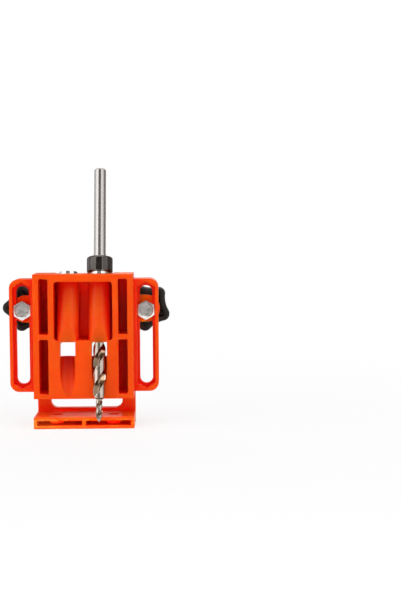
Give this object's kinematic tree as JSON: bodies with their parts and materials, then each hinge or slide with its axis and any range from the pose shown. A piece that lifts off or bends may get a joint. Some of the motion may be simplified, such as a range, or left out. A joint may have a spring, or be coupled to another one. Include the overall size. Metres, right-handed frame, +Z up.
{
  "type": "pocket hole jig",
  "caption": "Moulded drill guide block with inclined guide tubes and slotted wings, clamped at a set height on an upright base by bolts and star knobs, with a stepped drill and stop collar.",
  "frame": {"origin": "centre of the foot's underside, on the bench", "axes": "+Z up, +X to the right as seen from the front, -Y out of the front face that the work is clamped against"},
  "size_m": [0.1321, 0.0683, 0.1992],
  "materials": {
    "orange_plastic": "semi-gloss glass-filled nylon moulding",
    "black_plastic": "fine spark-eroded texture",
    "zinc_steel": "bright zinc plate",
    "ground_steel": "ground tool steel",
    "black_oxide": "blackened turned steel",
    "brass": "turned"
  },
  "bodies": {
    "base": {"base_frame": "orange_plastic", "washer_left": "zinc_steel", "washer_right": "zinc_steel"},
    "block": {"drill_block": "orange_plastic", "guide_bushing_left": "ground_steel", "guide_bushing_right": "ground_steel"},
    "left_knob": {"knob_left": "black_plastic", "knob_insert_left": "brass"},
    "right_knob": {"knob_right": "black_plastic", "knob_insert_right": "brass"},
    "left_bolt": {"clamp_bolt_left": "zinc_steel"},
    "right_bolt": {"clamp_bolt_right": "zinc_steel"},
    "collar": {"stop_collar": "black_oxide", "collar_set_screw": "black_oxide"},
    "drill": {"drill_bit": "ground_steel"}
  },
  "joints": [
    {"name": "block_height", "type": "slide", "parent": "base", "child": "block", "axis": [0, 0, 1], "range_m": [-0.0138, 0.051]},
    {"name": "left_knob_turn", "type": "hinge", "parent": "base", "child": "left_knob", "pos_m": [-0.0475, 0.0265, 0.0895], "axis": [0, 1, 0], "range_deg": [0, 562]},
    {"name": "right_knob_turn", "type": "hinge", "parent": "base", "child": "right_knob", "pos_m": [0.0475, 0.0265, 0.0895], "axis": [0, 1, 0], "range_deg": [0, 562]},
    {"name": "left_bolt_travel", "type": "slide", "parent": "base", "child": "left_bolt", "axis": [0, -1, 0], "range_m": [0, 0.00187]},
    {"name": "right_bolt_travel", "type": "slide", "parent": "base", "child": "right_bolt", "axis": [0, -1, 0], "range_m": [0, 0.00187]},
    {"name": "collar_lift", "type": "slide", "parent": "block", "child": "collar", "axis": [0, 0.2588, 0.9659], "range_m": [0, 0.125]},
    {"name": "drill_depth", "type": "slide", "parent": "collar", "child": "drill", "axis": [0, 0.2588, 0.9659], "range_m": [-0.004, 0.03]}
  ],
  "couplings": [
    {"joint": "left_knob_turn", "follows": "left_bolt_travel", "rad_per_m": 5026.5},
    {"joint": "right_knob_turn", "follows": "right_bolt_travel", "rad_per_m": 5026.5}
  ]
}
